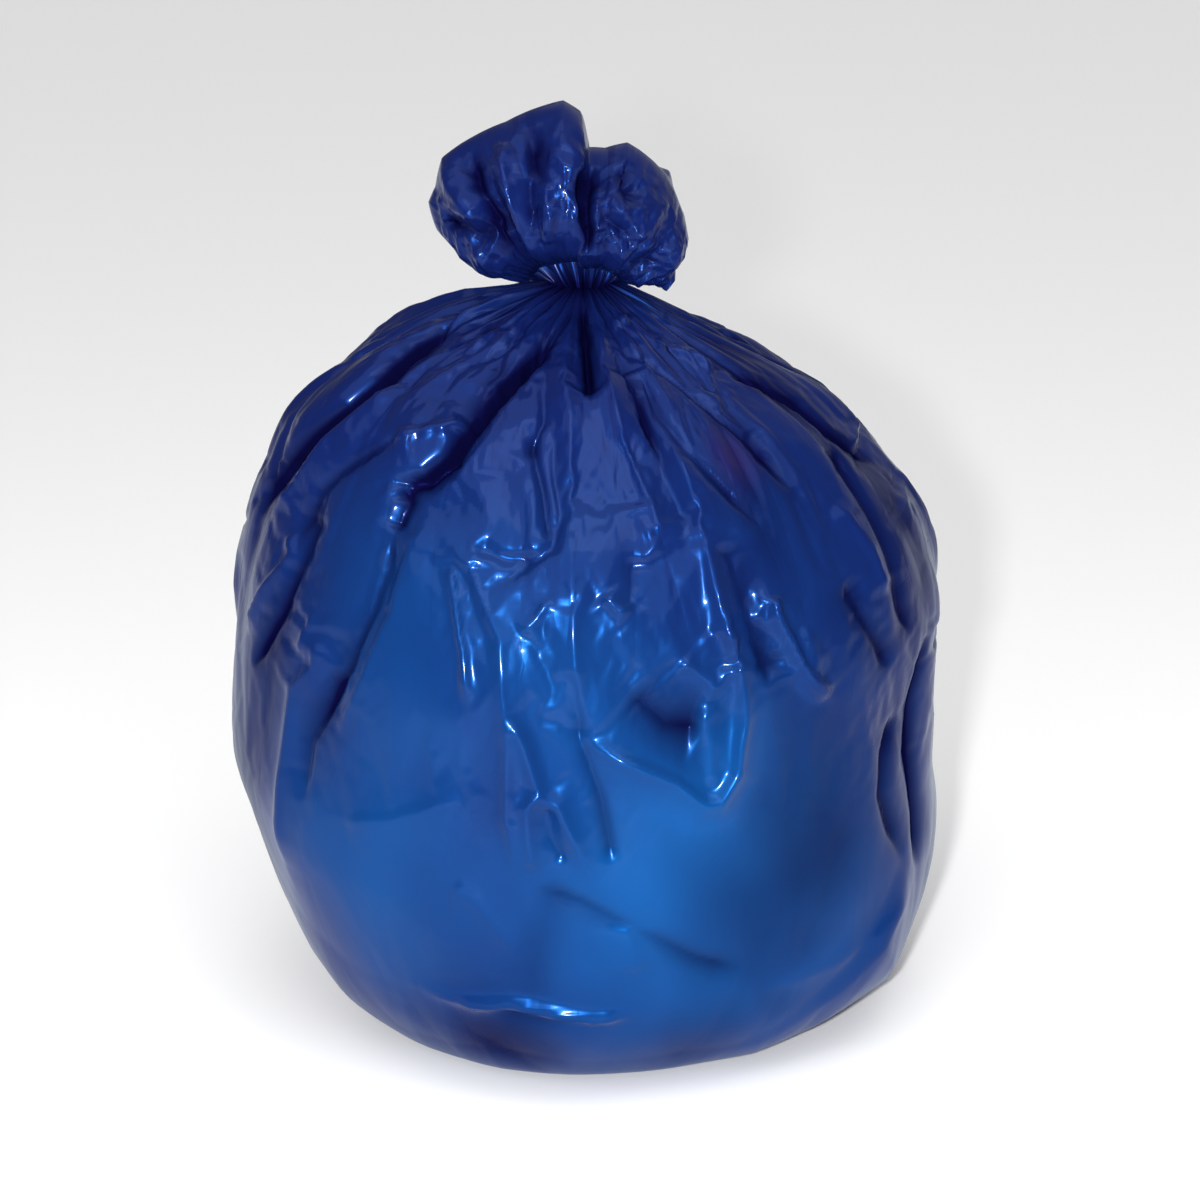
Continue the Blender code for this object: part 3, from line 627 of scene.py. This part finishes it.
def settled_shift():
    """How far each point of the body moves when the film settles as cloth.

    The film grows by CLOTH_GROWTH near the neck and less below, while pressure blows
    it out and its points are held at the neck, under the bag and weakly elsewhere. The
    run uses a coarse grid, and its moves are read off on curves through that grid."""
    azimuth, drop = film_grid(CLOTH_COLUMNS, film_rows(CLOTH_ROWS, CLOTH_LOW_ROWS))
    points, lift = body_points(azimuth, drop)
    poles = points[:CLOTH_COLUMNS].mean(axis=0), points[-CLOTH_COLUMNS:].mean(axis=0)
    sheet = skin("loose_film", points, CLOTH_ROWS, CLOTH_COLUMNS, *poles, lift, points)
    drops = np.append(drop, [drop.max(), 0.0])
    low = np.clip((drops - 0.30) / 0.30, 0, 1)
    held = CLOTH_HOLD + np.clip(1 - drops / 0.03, 0, 1) + low**2
    weigh(sheet, "held", held)
    weigh(sheet, "loose", 1.15 - drops / 0.35)
    cloth = sheet.modifiers.new("settle", "CLOTH")
    cloth.settings.quality = 5
    cloth.settings.mass = 0.15
    cloth.settings.air_damping = 2.0
    cloth.settings.tension_stiffness = 40
    cloth.settings.compression_stiffness = 40
    cloth.settings.shear_stiffness = 20
    cloth.settings.bending_stiffness = CLOTH_BEND
    cloth.settings.vertex_group_mass = "held"
    cloth.settings.vertex_group_shrink = "loose"
    cloth.settings.shrink_min = -CLOTH_LEAST_GROWTH
    cloth.settings.shrink_max = -CLOTH_GROWTH
    cloth.settings.use_pressure = True
    cloth.settings.uniform_pressure_force = CLOTH_PRESSURE
    cloth.settings.effector_weights.gravity = 0.0
    cloth.collision_settings.use_collision = False
    cloth.collision_settings.use_self_collision = False
    cloth.point_cache.frame_end = CLOTH_FRAMES
    scene = bpy.context.scene
    for step in range(1, CLOTH_FRAMES + 1):
        scene.frame_set(step)
    settled = sheet.evaluated_get(bpy.context.evaluated_depsgraph_get()).data
    places = np.empty(len(settled.vertices) * 3, dtype=np.float32)
    settled.vertices.foreach_get("co", places)
    kept = np.clip((CLOTH_END - drop) / CLOTH_FADE, 0, 1)
    moves = (places.reshape(-1, 3)[:-2] - points) * (kept * kept * (3 - 2 * kept))[:, None]
    bpy.data.meshes.remove(sheet.data)
    scene.frame_set(1)
    return spread_out(moves)


def weigh(piece, name, weights):
    """Gives a piece a vertex group with the given weights, kept from 0 to 1."""
    group = piece.vertex_groups.new(name=name)
    for number, weight in enumerate(np.clip(weights, 0, 1).tolist()):
        group.add([number], weight, "REPLACE")


def spread_out(moves):
    """Moves on the cloth's grid, read off at the points of the body's grid."""
    coarse = film_rows(CLOTH_ROWS, CLOTH_LOW_ROWS)[::-1]
    marks = np.arange(CLOTH_ROWS)[::-1]
    places = np.interp(film_rows(BODY_ROWS, LOW_ROWS), coarse, marks)
    rows = read_curve(moves.reshape(CLOTH_ROWS, -1), places)
    columns = rows.reshape(BODY_ROWS, CLOTH_COLUMNS, 3).transpose(1, 0, 2)
    columns = np.concatenate([columns[-2:], columns, columns[:2]]).reshape(CLOTH_COLUMNS + 4, -1)
    places = (np.arange(COLUMNS) + 0.5) / COLUMNS * CLOTH_COLUMNS + 1.5
    fine = read_curve(columns, places).reshape(COLUMNS, BODY_ROWS, 3)
    return fine.transpose(1, 0, 2).reshape(-1, 3)


def solid_shift():
    """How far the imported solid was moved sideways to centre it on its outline, found
    as the difference between its box and the box of the unmoved film."""
    azimuth, drop = film_grid(COLUMNS // 2, film_rows(BODY_ROWS // 2, LOW_ROWS // 2))
    points, _ = body_points(azimuth, drop)
    low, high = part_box(NODE)
    middle = (points.min(axis=0) + points.max(axis=0)) / 2
    return np.array([(low[0] + high[0]) / 2 - middle[0], (low[1] + high[1]) / 2 - middle[1], 0.0])


def film_rows(rows, low_rows):
    """Drops of the body's rows, from near the pole under the bag up to the neck. They
    are wide apart under the bag and, for the given number of rows, low on it."""
    longest = film_run()[1][0]
    knots = longest, longest - UNDERSIDE_REACH, longest - UNDERSIDE_REACH - LOW_RUN, 0.0
    marks = 0, UNDER_ROWS, UNDER_ROWS + low_rows, rows
    return np.interp(np.arange(1, rows + 1), marks, knots)


def film_grid(columns, drops):
    """Azimuths and drops of a grid over the body, with columns that are closer together
    at the front."""
    turn = 2 * math.pi * (np.arange(columns) + 0.5) / columns
    azimuth, drop = np.meshgrid(turn - FRONT_CROWD * np.cos(turn), drops)
    return azimuth.ravel(), drop.ravel()


def skin(name, points, rows, columns, start_pole, end_pole, lift, lie):
    """A closed piece from rows of points: quads between the rows and round each row,
    and a fan to a pole at either end. Without an end pole its last row is folded flat
    and welded, each point to its mirror. For the film's look each point keeps its lift
    and where it lies in the flat tube."""
    at = np.arange(rows * columns).reshape(rows, columns)
    ahead = np.roll(at, -1, axis=1)
    quads = np.stack([at[:-1], ahead[:-1], ahead[1:], at[1:]], axis=-1).reshape(-1, 4)
    faces = quads.tolist()
    verts = points.tolist()
    values, lies = lift.tolist(), lie.tolist()
    for pole, ring, order in ((start_pole, at[0], -1), (end_pole, at[-1], 1)):
        if pole is None:
            continue
        tip = len(verts)
        verts.append(list(pole))
        values.append(0.0)
        lies.append([0.0, 0.0, lie[ring[0], 2]])
        fan = np.stack([ring, np.roll(ring, -1), np.full(columns, tip)], axis=-1)[:, ::order]
        faces += fan.tolist()
    mesh = bpy.data.meshes.new(name)
    mesh.from_pydata(verts, [], faces)
    mesh.attributes.new("lift", "FLOAT", "POINT").data.foreach_set("value", values)
    flat_lies = np.array(lies).ravel()
    mesh.attributes.new("lie", "FLOAT_VECTOR", "POINT").data.foreach_set("vector", flat_lies)
    if end_pole is None:
        weld_rim(mesh, at[-1])
    mesh.shade_smooth()
    piece = bpy.data.objects.new(name, mesh)
    bpy.context.scene.collection.objects.link(piece)
    return piece


def lie_of(azimuth, drop):
    """Where points lie in the open tube of film: round it at the belly's reach, and
    down it by the drop."""
    reach = (BELLY_LEFT + BELLY_RIGHT) / 2
    sides = reach * np.cos(azimuth), reach * np.sin(azimuth)
    return np.stack([*sides, drop + 0 * azimuth], axis=1)


def weld_rim(mesh, rim):
    """Joins the points of the rim that lie on each other."""
    shape = bmesh.new()
    shape.from_mesh(mesh)
    shape.verts.ensure_lookup_table()
    bmesh.ops.remove_doubles(shape, verts=[shape.verts[k] for k in rim], dist=0.00002)
    shape.to_mesh(mesh)
    shape.free()


def attach(piece, material):
    """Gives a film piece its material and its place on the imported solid."""
    piece.data.materials.append(material)
    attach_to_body(piece, BODY)
    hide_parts(NODE)


def feed(tree, socket, value):
    """Links a socket to another node's output, or sets it to a plain value."""
    if isinstance(value, bpy.types.NodeSocket):
        tree.links.new(value, socket)
    else:
        socket.default_value = value


def ramp(tree, value, start, end, out_start=0.0, out_end=1.0, smooth=False):
    """A value from start to end, mapped to the range from out_start to out_end."""
    node = tree.nodes.new("ShaderNodeMapRange")
    node.interpolation_type = "SMOOTHSTEP" if smooth else "LINEAR"
    names = "Value", "From Min", "From Max", "To Min", "To Max"
    for name, setting in zip(names, (value, start, end, out_start, out_end)):
        feed(tree, node.inputs[name], setting)
    return node.outputs["Result"]


def combine(tree, operation, *values):
    """Plain arithmetic on values."""
    node = tree.nodes.new("ShaderNodeMath")
    node.operation = operation
    for socket, value in zip(node.inputs, values):
        feed(tree, socket, value)
    return node.outputs["Value"]


def blend(tree, factor, first, second):
    """A colour between the first and the second, at the factor."""
    node = tree.nodes.new("ShaderNodeMix")
    node.data_type = "RGBA"
    for key, value in (("Factor", factor), (6, first), (7, second)):
        feed(tree, node.inputs[key], value)
    return node.outputs[2]


def read_attribute(tree, name):
    """The node that reads one of the film's own attributes."""
    node = tree.nodes.new("ShaderNodeAttribute")
    node.attribute_name = name
    return node


def split(tree, vector):
    """The three parts of a vector."""
    node = tree.nodes.new("ShaderNodeSeparateXYZ")
    tree.links.new(vector, node.inputs["Vector"])
    return node.outputs


def film_tint(tree, settings, patches, foot_shade, height, lie):
    """Deep blue near the neck, partly where the film lies in layers and partly painted shade
    on the upper part. Bright low down, where one layer lies on the contents, in broad
    patches, and as painted light towards the middle, with painted shade to the flanks and
    the bottom. With the faint reddish spot."""
    # Deep blue on the upper part, partly where the film lies in layers and partly painted shade where
    # it turns up away from the front lights.
    low = ramp(tree, height, *CONTACT_HEIGHTS, smooth=True)
    upright = combine(tree, "MULTIPLY", low, foot_shade)
    contact_and_light = combine(tree, "MULTIPLY", upright, ramp(tree, patches, *PATCH_RANGE))
    flank = combine(tree, "ABSOLUTE", split(tree, lie)["X"])
    # Painted light: brighter towards the front middle, which faces the flash, with painted shade to the
    # flanks.
    middle = ramp(tree, flank, *FLANK_SHADE, contact_and_light, 0.0, smooth=True)
    tint = blend(tree, middle, (*settings.deep_shaded_colour, 1), (*settings.bright_lit_colour, 1))
    off = tree.nodes.new("ShaderNodeVectorMath")
    off.operation = "DISTANCE"
    off.inputs[1].default_value = lie_of(np.radians([HINT_AZIMUTH]), HINT_DROP)[0]
    tree.links.new(lie, off.inputs[0])
    near = ramp(tree, off.outputs["Value"], HINT_REACH, 0.0, 0.0, HINT_SHARE, smooth=True)
    return blend(tree, near, tint, HINT_COLOUR)


def film_bump(tree, lie):
    """Fine creases and flat planes that run down the film: ridged noise plus the edges
    of cells, stronger near the neck."""
    long = tree.nodes.new("ShaderNodeVectorMath")
    long.operation = "MULTIPLY"
    long.inputs[1].default_value = BUMP_STRETCH
    tree.links.new(lie, long.inputs[0])
    ridges = tree.nodes.new("ShaderNodeTexNoise")
    ridges.noise_type = "RIDGED_MULTIFRACTAL"
    ridges.inputs["Scale"].default_value = RIDGE_SCALE
    ridges.inputs["Detail"].default_value = 2.5
    ridges.inputs["Distortion"].default_value = 0.4
    tree.links.new(long.outputs["Vector"], ridges.inputs["Vector"])
    planes = tree.nodes.new("ShaderNodeTexVoronoi")
    planes.feature = "DISTANCE_TO_EDGE"
    planes.inputs["Scale"].default_value = PLANE_SCALE
    tree.links.new(long.outputs["Vector"], planes.inputs["Vector"])
    edges = ramp(tree, planes.outputs["Distance"], 0.0, PLANE_EDGE)
    creases = combine(tree, "MULTIPLY_ADD", ridges.outputs["Fac"], RIDGE_SHARE, edges)
    strength = ramp(tree, split(tree, lie)["Z"], *BUMP_DROPS, *BUMP_STRENGTHS, smooth=True)
    bump = tree.nodes.new("ShaderNodeBump")
    bump.inputs["Distance"].default_value = BUMP_HEIGHT
    feed(tree, bump.inputs["Strength"], strength)
    feed(tree, bump.inputs["Height"], creases)
    return bump.outputs["Normal"]


def film_material(settings):
    """Thin glossy polythene: dyed film with a hazy blue sheen under a clear gloss. Painted
    shade takes the colour and the gloss out of the valleys and weakens them towards the
    bottom."""
    material = bpy.data.materials.get("blue_film")
    if material:
        return material
    material = bpy.data.materials.new("blue_film")
    material.use_nodes = True
    tree = material.node_tree
    place = tree.nodes.new("ShaderNodeTexCoord").outputs["Object"]
    lie = read_attribute(tree, "lie").outputs["Vector"]
    height = split(tree, place)["Z"]
    broad = tree.nodes.new("ShaderNodeTexNoise")
    broad.inputs["Scale"].default_value = PATCH_SCALE
    broad.inputs["Detail"].default_value = 2.0
    tree.links.new(place, broad.inputs["Vector"])
    patches = broad.outputs["Fac"]
    # Painted shade: the bright colour and the gloss weaken towards the bottom of the bag.
    foot_shade = ramp(tree, height, 0.0, FOOT_SHADE_HEIGHT, FOOT_SHADE_SHARE, 1.0)
    # Painted shade in the valleys: where the lift falls, the colour turns near black and the gloss and
    # coat are taken away.
    crest = ramp(tree, read_attribute(tree, "lift").outputs["Fac"], *VALLEY_SHADE_LIFTS)
    shaded_shine = combine(tree, "MULTIPLY", crest, foot_shade)
    tint = film_tint(tree, settings, patches, foot_shade, height, lie)
    looks = {
        "Base Color": blend(tree, crest, VALLEY_SHADE_COLOUR, tint),
        "Metallic": FILM_METALLIC,
        "Roughness": ramp(tree, patches, 0.0, 1.0, *FILM_ROUGHNESS),
        "IOR": FILM_IOR,
        "Specular IOR Level": shaded_shine,
        "Specular Tint": (*settings.sheen_colour, 1),
        "Coat Weight": combine(tree, "MULTIPLY", shaded_shine, COAT_WEIGHT),
        "Coat IOR": COAT_IOR,
        "Coat Roughness": COAT_ROUGHNESS,
        "Normal": film_bump(tree, lie),
    }
    for name, value in looks.items():
        feed(tree, tree.nodes["Principled BSDF"].inputs[name], value)
    return material


class FilmSettings(bpy.types.PropertyGroup):
    """Colours of the film."""

    # Partly painted shade: the colour of layered film and of the parts turned away from the lights.
    deep_shaded_colour: bpy.props.FloatVectorProperty(
        name="Deep colour",
        description="Colour where the film lies in several layers",
        subtype="COLOR",
        size=3,
        min=0,
        max=1,
        default=(0.004, 0.010, 0.080),
    )
    # Partly painted light: the colour of one stretched layer and of the front middle that faces the
    # flash.
    bright_lit_colour: bpy.props.FloatVectorProperty(
        name="Bright colour",
        description="Colour where one layer is stretched over the contents",
        subtype="COLOR",
        size=3,
        min=0,
        max=1,
        default=(0.003, 0.066, 0.245),
    )
    sheen_colour: bpy.props.FloatVectorProperty(
        name="Sheen colour",
        description="Colour of the haze that a light leaves in the film",
        subtype="COLOR",
        size=3,
        min=0,
        max=1,
        default=(0.02, 0.42, 1.0),
    )


class StageSettings(bpy.types.PropertyGroup):
    """Tone of the plain studio."""

    floor_tone: bpy.props.FloatProperty(
        name="Floor tone",
        description="Brightness of the pale floor",
        default=0.93,
        min=0,
        max=1,
    )
    light_power: bpy.props.FloatProperty(
        name="Light power",
        description="Share of the studio lights' power",
        default=1.0,
        min=0,
    )


class TRASHBAG_OT_body(bpy.types.Operator):
    """Builds the filled body of the bag, from its underside to the neck"""

    bl_idname = "trashbag.body"
    bl_label = "Bag body"

    def execute(self, context):
        azimuth, drop = film_grid(COLUMNS, film_rows(BODY_ROWS, LOW_ROWS))
        points, lift = body_points(azimuth, drop)
        points += settled_shift() + solid_shift()
        points[:, 2] = np.maximum(points[:, 2], 0.0)
        under = points[:COLUMNS].mean(axis=0)
        neck = points[-COLUMNS:].mean(axis=0) + [0, 0, 0.004]
        lie = lie_of(azimuth, drop)
        piece = skin("film_body", points, BODY_ROWS, COLUMNS, under, neck, lift, lie)
        attach(piece, film_material(context.scene.trash_bag_film))
        return {"FINISHED"}


class TRASHBAG_OT_tuft(bpy.types.Operator):
    """Builds the crumpled tuft of two lobes above the tie"""

    bl_idname = "trashbag.tuft"
    bl_label = "Bag tuft"

    def execute(self, context):
        columns = 2 * math.pi * (np.arange(TUFT_COLUMNS) + 0.5) / TUFT_COLUMNS
        part = np.arange(TUFT_ROWS) / (TUFT_ROWS - 1)
        azimuth, part = (grid.ravel() for grid in np.meshgrid(columns, part))
        points, lift = tuft_points(azimuth, part)
        points += solid_shift()
        neck = points[:TUFT_COLUMNS].mean(axis=0) - [0, 0, 0.004]
        lie = lie_of(azimuth, -TUFT_REACH * part)
        piece = skin("film_tuft", points, TUFT_ROWS, TUFT_COLUMNS, neck, None, lift, lie)
        attach(piece, film_material(context.scene.trash_bag_film))
        return {"FINISHED"}


def stage_object(name, mesh, material):
    """Puts a mesh into the studio, outside the bag."""
    mesh.materials.append(material)
    piece = bpy.data.objects.new(name, mesh)
    bpy.context.scene.collection.objects.link(piece)


def way_to(azimuth, elevation):
    """Unit vector from the bag to a light: degrees round from the camera's side, right
    positive, and degrees up."""
    turn, up = math.radians(azimuth), math.radians(elevation)
    return Vector((math.sin(turn) * math.cos(up), -math.cos(turn) * math.cos(up), math.sin(up)))


def soft_light(name, azimuth, elevation, distance, size, power):
    """A rectangular softbox that looks at the middle of the bag."""
    way = way_to(azimuth, elevation)
    light = bpy.data.lights.new(name, "AREA")
    light.shape = "RECTANGLE"
    light.size, light.size_y = size
    light.energy = power
    place_light(light, Vector((0, 0, 0.28)) + way * distance, way)


def wide_light(name, azimuth, elevation, spread, strength):
    """An even light from one side of the sky, as from a very large diffuser."""
    way = way_to(azimuth, elevation)
    light = bpy.data.lights.new(name, "SUN")
    light.angle = math.radians(spread)
    light.energy = strength
    place_light(light, way * 4, way)


def place_light(light, location, way):
    """Sets a light at a place, so that it shines against the way to it."""
    lamp = bpy.data.objects.new(light.name, light)
    lamp.location = location
    lamp.rotation_euler = (-way).to_track_quat("-Z", "Y").to_euler()
    bpy.context.scene.collection.objects.link(lamp)


class TRASHBAG_OT_stage(bpy.types.Operator):
    """Builds the pale floor, the soft lights and the camera"""

    bl_idname = "trashbag.stage"
    bl_label = "Studio"

    def execute(self, context):
        scene = context.scene
        settings = scene.trash_bag_stage
        material = bpy.data.materials.new("pale_floor")
        material.use_nodes = True
        tone = settings.floor_tone
        shader = material.node_tree.nodes["Principled BSDF"]
        shader.inputs["Base Color"].default_value = (tone, tone, tone, 1)
        shader.inputs["Roughness"].default_value = 0.8
        mesh = bpy.data.meshes.new("floor")
        reach = FLOOR_REACH
        corners = [(-reach, -reach, 0), (reach, -reach, 0), (reach, reach, 0), (-reach, reach, 0)]
        mesh.from_pydata(corners, [], [(0, 1, 2, 3)])
        stage_object("floor", mesh, material)

        world = bpy.data.worlds.new("studio")
        world.use_nodes = True
        world.node_tree.nodes["Background"].inputs["Color"].default_value = (1, 1, 1, 1)
        world.node_tree.nodes["Background"].inputs["Strength"].default_value = WORLD_STRENGTH
        scene.world = world
        for name, (azimuth, elevation, distance, size, power) in SOFT_LIGHTS.items():
            soft_light(name, azimuth, elevation, distance, size, power * settings.light_power)
        for name, (azimuth, elevation, spread, strength) in WIDE_LIGHTS.items():
            wide_light(name, azimuth, elevation, spread, strength * settings.light_power)

        camera = bpy.data.cameras.new("camera")
        camera.sensor_width = SENSOR_WIDTH
        camera.lens = SENSOR_WIDTH * CAMERA_DISTANCE / VIEW_WIDTH
        holder = bpy.data.objects.new("camera", camera)
        up = math.radians(CAMERA_ELEVATION)
        look = Vector((0, math.cos(up), -math.sin(up)))
        holder.location = Vector(CAMERA_TARGET) - look * CAMERA_DISTANCE
        holder.rotation_euler = look.to_track_quat("-Z", "Y").to_euler()
        scene.collection.objects.link(holder)
        scene.camera = holder
        scene.view_settings.view_transform = "Standard"
        return {"FINISHED"}


class TRASHBAG_PT_panel(bpy.types.Panel):
    """Sidebar panel with the steps in their order"""

    bl_idname = "TRASHBAG_PT_panel"
    bl_label = "Trash Bag"
    bl_space_type = "VIEW_3D"
    bl_region_type = "UI"
    bl_category = "Trash Bag"

    def draw(self, context):
        column = self.layout.column()
        for step in STEPS:
            column.operator(step.bl_idname)
        for group in (context.scene.trash_bag_film, context.scene.trash_bag_stage):
            for name in group.__annotations__:
                column.prop(group, name)


STEPS = (TRASHBAG_OT_body, TRASHBAG_OT_tuft, TRASHBAG_OT_stage)
CLASSES = (FilmSettings, StageSettings, *STEPS, TRASHBAG_PT_panel)


def register():
    for kind in CLASSES:
        bpy.utils.register_class(kind)
    bpy.types.Scene.trash_bag_film = bpy.props.PointerProperty(type=FilmSettings)
    bpy.types.Scene.trash_bag_stage = bpy.props.PointerProperty(type=StageSettings)


def unregister():
    del bpy.types.Scene.trash_bag_stage
    del bpy.types.Scene.trash_bag_film
    for kind in reversed(CLASSES):
        bpy.utils.unregister_class(kind)


def main():
    register()
    bpy.ops.trashbag.body()
    bpy.ops.trashbag.tuft()
    bpy.ops.trashbag.stage()


if __name__ == "__main__":
    main()
